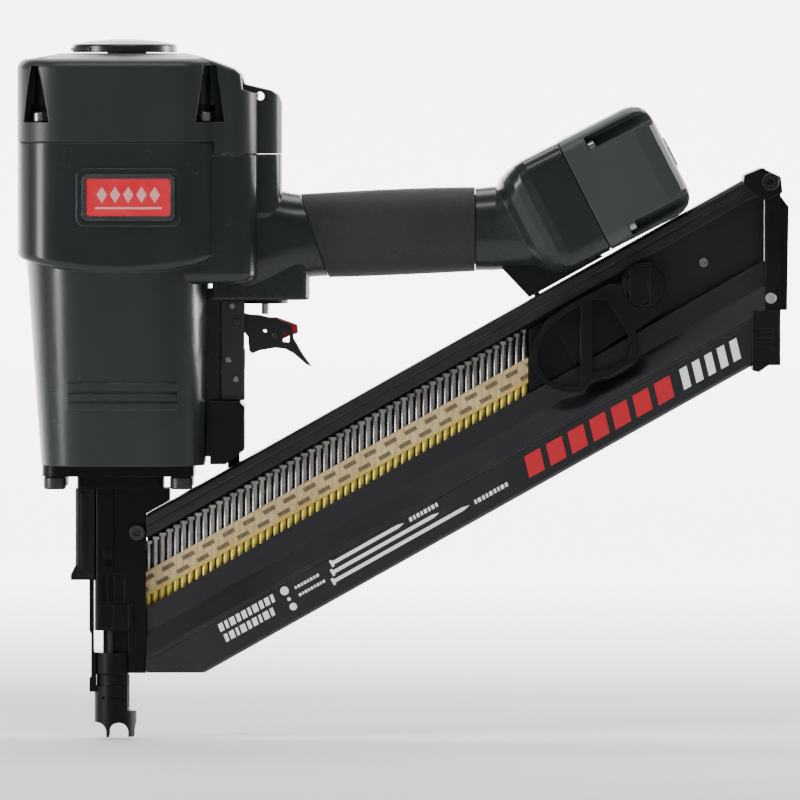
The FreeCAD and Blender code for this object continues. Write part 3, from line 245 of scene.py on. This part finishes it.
def rail_axes(s):
    """Distance along the magazine and height over its datum line, in millimetres."""
    x, y, z = s.axes()
    lifted = s.math("SUBTRACT", z, RAIL_LIFT * MM)
    c, k = math.cos(RAIL_ANGLE) / MM, math.sin(RAIL_ANGLE) / MM
    along = s.math("MULTIPLY_ADD", x, c, s.math("MULTIPLY", lifted, k))
    up = s.math("MULTIPLY_ADD", lifted, c, s.math("MULTIPLY", x, -k))
    return along, up, y


def extruded(name, tone, rough, metallic=0.0, gloss=0.4):
    """Black anodised extrusion: long draw lines, corners rubbed bright and a little dust."""
    s = Shader(name)
    normal, corner = s.corners(0.5)
    along, up, across = rail_axes(s)
    lines = s.node("ShaderNodeCombineXYZ")
    s.link(s.math("MULTIPLY", along, 0.004), lines.inputs[0])
    s.link(s.math("MULTIPLY", up, 0.6), lines.inputs[1])
    s.link(s.math("MULTIPLY", across, 600.0), lines.inputs[2])
    drawn = s.noise(6.0, 4.0, 0.65, lines.outputs[0])
    cloud = s.noise(20.0, 5.0, 0.6)
    rubbed = s.math("MULTIPLY", corner, s.remap(s.noise(60.0, 5.0, 0.7), 0.4, 0.6, 0.15, 0.7))
    base = s.mix(s.remap(cloud, 0.3, 0.7), times(tone, 0.8), times(tone, 1.4))
    s.set("Base Color", s.mix(rubbed, base, (0.10, 0.102, 0.105)))
    s.set("Metallic", metallic)
    s.set("Roughness", s.remap(drawn, 0.3, 0.7, rough - 0.06, rough + 0.1))
    s.set("Specular IOR Level", gloss)
    s.relief(drawn, 0.2, 0.05, normal)
    return s.mat


def nail_wire():
    """Bright drawn wire with amber glue round the tape."""
    s = Shader("nail_wire")
    along, up, across = rail_axes(s)
    streak = s.noise(900.0, 3.0, 0.6, s.mapped(scale=(1, 1, 0.04)))
    cloud = s.noise(140.0, 3.0, 0.6)
    base = s.mix(s.remap(cloud, 0.35, 0.7), (0.44, 0.43, 0.41), (0.24, 0.235, 0.225))
    ragged = s.math("MULTIPLY_ADD", s.noise(420.0, 3.0, 0.7), 5.0, up)
    glue = s.band(ragged, -38.0, -13.5)
    amber = s.mix(s.remap(ragged, -30.5, -27.5), (0.085, 0.070, 0.012), (0.78, 0.62, 0.07))
    base = s.mix(s.math("MULTIPLY", glue, 0.9), base, amber)
    s.set("Base Color", base)
    s.set("Metallic", s.math("MULTIPLY_ADD", glue, -0.7, 1.0))
    s.set("Roughness", s.remap(streak, 0.3, 0.7, 0.14, 0.28))
    s.relief(streak, 0.2, 0.06)
    return s.mat


def kraft_tape():
    """Kraft paper band with two staggered rows of punched dashes, glue soaking through, and painted
    shade in the dips between the nails.
    """
    s = Shader("kraft_tape")
    along, up, across = rail_axes(s)
    fibre = s.noise(420.0, 5.0, 0.7)
    cloud = s.noise(60.0, 4.0, 0.6)
    base = s.mix(s.remap(cloud, 0.3, 0.7), (0.50, 0.36, 0.15), (0.68, 0.54, 0.28))
    base = s.mix(s.remap(fibre, 0.5, 0.8, 0.0, 0.5), base, (0.30, 0.20, 0.09))
    for level, shift in ((-18.9, 0.0), (-23.9, 0.5)):
        step = s.math("FRACT", s.math("MULTIPLY_ADD", along, 1 / 12.4, shift))
        dash = s.math("MULTIPLY", s.band(step, 0.25, 0.83), s.band(up, level - 1.2, level + 1.2))
        base = s.mix(s.math("MULTIPLY", dash, 0.9), base, (0.085, 0.062, 0.036))
    # painted shade: the paper is coloured darker in the dips between the nails, the same dips the
    # relief sinks in
    phase = s.math("FRACT", s.math("MULTIPLY", s.axes()[0], 1 / (NAIL_PITCH * MM)))
    ridge = s.math("ABSOLUTE", s.math("SUBTRACT", phase, 0.5))
    base = s.mix(s.remap(ridge, 0.3, 0.5, 0.0, 0.4), base, (0.28, 0.19, 0.08))
    soaked = s.remap(up, -27.2, -24.6, 0.75, 0.0)
    s.set("Base Color", s.mix(soaked, base, (0.62, 0.42, 0.04)))
    s.set("Roughness", s.remap(fibre, 0.3, 0.7, 0.6, 0.85))
    s.relief(s.math("MULTIPLY_ADD", ridge, -2.4, fibre), 0.5, 0.25)
    return s.mat


def printed(name, tone):
    """Screen-printed ink: slightly uneven cover and tiny pinholes."""
    s = Shader(name)
    pin = s.remap(s.noise(1400.0, 2.0, 0.6), 0.68, 0.74, 0.0, 0.5)
    cloud = s.noise(90.0, 4.0, 0.6)
    base = s.mix(s.remap(cloud, 0.3, 0.7, 0.0, 0.25), tone, times(tone, 0.8))
    s.set("Base Color", s.mix(pin, base, (0.05, 0.05, 0.05)))
    s.set("Roughness", s.remap(cloud, 0.3, 0.7, 0.35, 0.5))
    s.relief(s.noise(900.0, 2.0, 0.5), 0.05, 0.05)
    return s.mat


def badge_red():
    """Red badge face: fine ribbed ground with a row of paler lozenges over a thin rule."""
    s = Shader("badge_red")
    x, y, z = s.axes()
    low, high = (corner / MM for corner in (BADGE[0], BADGE[1]))
    u = s.math("MULTIPLY_ADD", x, 1 / MM, -(low.x + high.x) / 2)
    v = s.math("MULTIPLY_ADD", z, 1 / MM, -(low.z + high.z) / 2)
    fine = s.math("SINE", s.math("MULTIPLY", v, 2 * math.pi / 0.7))
    cell = s.math("SUBTRACT", s.math("FRACT", s.math("MULTIPLY_ADD", u, 1 / 7.0, 0.5)), 0.5)
    shape = s.math("MULTIPLY_ADD", s.math("ABSOLUTE", cell), 2.4,
                   s.math("DIVIDE", s.math("ABSOLUTE", s.math("SUBTRACT", v, 1.4)), 4.6))
    middle = s.math("LESS_THAN", s.math("ABSOLUTE", u), 17.6)
    row = s.math("MULTIPLY", s.math("LESS_THAN", shape, 0.95), middle)
    rule = s.math("MULTIPLY", s.band(v, -6.2, -5.1), middle)
    mark = s.math("MAXIMUM", row, rule)
    cloud = s.noise(120.0, 4.0, 0.6)
    red = s.mix(s.remap(cloud, 0.3, 0.7), (0.58, 0.004, 0.016), (0.70, 0.010, 0.028))
    s.set("Base Color", s.mix(s.math("MULTIPLY", mark, 0.8), red, (0.66, 0.40, 0.42)))
    s.set("Roughness", s.remap(cloud, 0.3, 0.7, 0.3, 0.45))
    s.relief(s.math("MULTIPLY_ADD", mark, 1.2, s.math("MULTIPLY", fine, 0.12)), 0.5, 0.2)
    return s.mat


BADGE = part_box("badge_plate")
BODY = painted("body_paint", (0.0118, 0.0158, 0.0154), 0.25, 620.0, 0.07)
CAP = painted("cap_paint", (0.0132, 0.0166, 0.0180), 0.38, 900.0, 0.2, 0.8, 0.4)
GRIP = foam_rubber()
END_CAP = painted("end_cap_paint", (0.0350, 0.0415, 0.0430), 0.40, 900.0, 0.2, 0.8, 0.4)
BLACK = plastic("black_plastic", (0.0026, 0.0031, 0.0034), 0.34, gloss=0.22)
TRIGGER = plastic("trigger_plastic", (0.0060, 0.0070, 0.0068), 0.36, gloss=0.35)
SATIN = plastic("satin_plastic", (0.0075, 0.0090, 0.0105), 0.27, 500.0, 0.06, 0.8, 0.5)
RED = plastic("red_plastic", (0.45, 0.012, 0.025), 0.3, 900.0, 0.08)
STEEL_BLACK = metal("black_steel", (0.0030, 0.0034, 0.0039), 0.36, (1, 1, 0.06), 0.12, 0.5, 0.5,
                    metallic=0.2, gloss=0.18)
DARK_SCREW = metal("dark_screw", (0.05, 0.052, 0.055), 0.36, (1, 1, 1), 0.1, 0.4, 0.3, 0.8)
ZINC = metal("zinc_steel", (0.27, 0.28, 0.29), 0.26, (1, 1, 1), 0.1)
STEEL = metal("ground_steel", (0.50, 0.49, 0.47), 0.28, (1, 1, 0.05))
SPRING_DARK = metal("spring_steel", (0.055, 0.056, 0.060), 0.34, (1, 1, 0.05))
ALLOY = metal("cylinder_alloy", (0.62, 0.63, 0.64), 0.3, (1, 1, 0.05))
BRASS = metal("brass", (0.36, 0.25, 0.11), 0.34, (1, 1, 1))
SILVER = metal("badge_silver", (0.13, 0.13, 0.135), 0.26, (0.05, 1, 1), 0.06)
SEAL = plastic("seal_rubber", (0.012, 0.012, 0.012), 0.6, 400.0, 0.1)
GASKET = plastic("gasket", (0.02, 0.02, 0.022), 0.7, 300.0, 0.2)
RAIL = extruded("rail_anodised", (0.0125, 0.0140, 0.0155), 0.32, 0.2)
CHANNEL = extruded("channel_anodised", (0.0085, 0.0098, 0.0112), 0.33)

FINISH = {
    BODY: ["housing"],
    CAP: ["cylinder_cap", "trigger_bracket"],
    END_CAP: ["end_cap"],
    GRIP: ["grip_sleeve"],
    TRIGGER: ["trigger"],
    BLACK: ["trigger_valve_body", "rear_cover", "safety_guide", "magazine_bracket", "end_bracket",
            "pusher"],
    SATIN: ["exhaust_deflector"],
    RED: ["trigger_lever"],
    STEEL_BLACK: ["nose_body", "nose_cheeks", "nose_muzzle", "contact_foot", "safety_link"],
    DARK_SCREW: ["deflector_screw", "cover_screws", "nose_screws", "cheek_screw", "bracket_screws",
                 "trigger_pin", "lever_pin"],
    ZINC: ["cap_screws", "end_cap_screws", "magazine_screws", "bracket_pins"],
    bracket_steel(): ["end_bracket_screws"],
    STEEL: ["head_valve_spring", "driver_blade", "trigger_spring", "valve_stem", "valve_spring",
            "safety_spring"],
    SPRING_DARK: ["pusher_spring"],
    ALLOY: ["head_valve", "cylinder_sleeve", "piston"],
    BRASS: ["inlet_bush"],
    SILVER: ["badge_frame"],
    badge_red(): ["badge_plate"],
    SEAL: ["head_valve_seal", "sleeve_seals", "piston_ring", "bumper"],
    GASKET: ["cap_gasket", "end_cap_gasket"],
    RAIL: ["magazine_rail"],
    CHANNEL: ["magazine_back_plate", "magazine_channel"],
    nail_wire(): ["nails"],
    kraft_tape(): ["collation_tape"],
}

for material, names in FINISH.items():
    for name in names:
        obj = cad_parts[name]
        obj.data.materials.clear()
        obj.data.materials.append(material)


# ---------------------------------------------------------------- printing on the magazine

def on_rail(s, n, y):
    a = RAIL_ANGLE
    return Vector((s * math.cos(a) - n * math.sin(a), y,
                   RAIL_LIFT + s * math.sin(a) + n * math.cos(a))) * MM


def decal(name, outlines, material, y=FACE_Y - 0.06, thick=0.05):
    """Thin printed shapes lying on the magazine's face."""
    bm = bmesh.new()
    for outline in outlines:
        front = [bm.verts.new(on_rail(s, n, y)) for s, n in outline]
        back = [bm.verts.new(on_rail(s, n, y + thick)) for s, n in outline]
        bm.faces.new(front)
        bm.faces.new(back[::-1])
        for i in range(len(front)):
            j = (i + 1) % len(front)
            bm.faces.new((front[j], front[i], back[i], back[j]))
    bmesh.ops.recalc_face_normals(bm, faces=bm.faces)
    mesh = bpy.data.meshes.new(name)
    bm.to_mesh(mesh)
    bm.free()
    obj = bpy.data.objects.new(name, mesh)
    bpy.context.scene.collection.objects.link(obj)
    mesh.materials.append(material)
    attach(obj, "frame")


def bar(s0, s1, n0, n1, lean=0.0):
    return [(s0, n0), (s1, n0), (s1 + lean, n1), (s0 + lean, n1)]


def dashes(s0, s1, n, tall, widths, gap):
    """Row of small upright blocks whose widths repeat."""
    row = []
    at = s0
    while at + widths[len(row) % len(widths)] <= s1:
        wide = widths[len(row) % len(widths)]
        row.append(bar(at, at + wide, n - tall / 2, n + tall / 2, 0.15 * tall))
        at += wide + gap
    return row


def dot(s, n, radius):
    return [(s + radius * math.cos(math.radians(a)), n + radius * math.sin(math.radians(a)))
            for a in range(0, 360, 15)]


def nail_sign(s0, s1, n, head=1.9, shank=0.95):
    """Side view of a nail lying along the face, with its head towards the nose."""
    return [(s0, n - head), (s0 + 1.3, n - head), (s0 + 1.6, n - shank), (s1 - 4.0, n - shank), (s1, n),
            (s1 - 4.0, n + shank), (s0 + 1.6, n + shank), (s0 + 1.3, n + head), (s0, n + head)]


INK_WHITE = printed("ink_white", (0.93, 0.94, 0.95))
INK_RED = printed("ink_red", (0.52, 0.003, 0.016))
decal("nail_signs", [nail_sign(96.0, 141.0, -59.8), nail_sign(94.0, 160.0, -64.2),
                     nail_sign(92.0, 176.0, -68.6)], INK_WHITE)
decal("sign_notes", dashes(144.0, 162.0, -59.8, 2.2, (1.7, 1.2), 0.8)
      + dashes(179.0, 201.0, -68.6, 2.2, (1.2, 1.9, 1.5), 0.8), INK_WHITE)
decal("block_lines", dashes(27.0, 63.5, -60.6, 4.2, (2.6, 1.8, 3.0, 2.2), 1.1)
      + dashes(27.0, 60.5, -66.8, 4.2, (2.0, 2.8, 1.6, 3.2), 1.1), INK_WHITE)
decal("side_dots", [dot(67.5, -60.2, 2.3), dot(67.5, -65.2, 1.0), dot(67.5, -69.8, 2.0)], INK_WHITE)
decal("thin_lines", dashes(73.0, 89.0, -61.6, 1.5, (1.0, 1.6), 0.6)
      + dashes(73.0, 89.0, -66.0, 1.5, (1.5, 0.9), 0.6), INK_WHITE)
decal("red_stripes", [bar(211.0 + 13.2 * k, 220.6 + 13.2 * k, -71.6, -60.2, 3.2)
                      for k in range(7)], INK_RED)
decal("white_stripes", [bar(306.0 + 7.6 * k, 310.4 + 7.6 * k, -71.0, -60.2, 3.0)
                        for k in range(5)], INK_WHITE)

# ---------------------------------------------------------------- studio

def area(name, at, to, wide, tall, power):
    light = bpy.data.lights.new(name, "AREA")
    light.shape = "RECTANGLE"
    light.size = wide
    light.size_y = tall
    light.energy = power
    obj = bpy.data.objects.new(name, light)
    obj.location = at
    obj.rotation_euler = (Vector(to) - Vector(at)).to_track_quat("-Z", "Y").to_euler()
    bpy.context.scene.collection.objects.link(obj)


def sweep():
    """Plain pale floor that curves up into a wall far behind the tool and glows softly there."""
    profile = [(-9.0, 0.0), (SWEEP_START, 0.0)]
    for turn in range(6, 91, 6):
        a = math.radians(turn)
        profile.append((SWEEP_START + SWEEP_RADIUS * math.sin(a), SWEEP_RADIUS * (1 - math.cos(a))))
    profile.append((SWEEP_START + SWEEP_RADIUS, WALL_TOP))
    bm = bmesh.new()
    rows = [[bm.verts.new((x, y, z - 0.0015)) for x in (-8.85, 9.15)] for y, z in profile]
    for near, far in zip(rows, rows[1:]):
        bm.faces.new((near[0], near[1], far[1], far[0])).smooth = True
    mesh = bpy.data.meshes.new("sweep")
    bm.to_mesh(mesh)
    bm.free()
    obj = bpy.data.objects.new("sweep", mesh)
    bpy.context.scene.collection.objects.link(obj)
    s = Shader("sweep_paper")
    cloud = s.noise(3.0, 3.0, 0.5)
    s.set("Base Color", s.mix(s.remap(cloud, 0.3, 0.7), (0.86, 0.86, 0.86), (0.89, 0.89, 0.89)))
    s.set("Roughness", s.remap(cloud, 0.3, 0.7, 0.85, 0.95))
    s.set("Specular IOR Level", 0.1)
    s.set("Emission Color", (1.0, 1.0, 1.0))
    s.set("Emission Strength", s.remap(s.axes()[1], 0.35, 1.6, 0.0, 5.0))
    mesh.materials.append(s.mat)


sweep()
CENTRE = Vector((0.150, 0.0, 0.180))
area("strip_left", (-1.20, -0.62, 0.30), (0.0, 0.0, 0.20), 0.26, 1.1, 19.0)
area("strip_right", (1.35, 0.42, 0.30), (0.0, 0.0, 0.20), 0.24, 1.1, 28.0)
area("front_top", (0.10, -0.75, 1.30), (0.15, 0.0, 0.20), 1.0, 0.22, 6.5)
area("overhead", (0.15, 0.45, 1.35), (0.15, 0.1, 0.20), 1.3, 0.6, 13.0)

world = bpy.data.worlds.new("studio")
world.use_nodes = True
world.node_tree.nodes["Background"].inputs["Color"].default_value = (1, 1, 1, 1)
world.node_tree.nodes["Background"].inputs["Strength"].default_value = 0.27
bpy.context.scene.world = world

camera_data = bpy.data.cameras.new("camera")
camera_data.sensor_width = 36.0
camera_data.lens = camera_data.sensor_width * CAMERA_AWAY / FRAME_WIDE
camera = bpy.data.objects.new("camera", camera_data)
rise = math.radians(CAMERA_RISE)
camera.location = CENTRE + CAMERA_AWAY * Vector((0, -math.cos(rise), math.sin(rise)))
camera.rotation_euler = (CENTRE - camera.location).to_track_quat("-Z", "Y").to_euler()
bpy.context.scene.collection.objects.link(camera)
bpy.context.scene.camera = camera
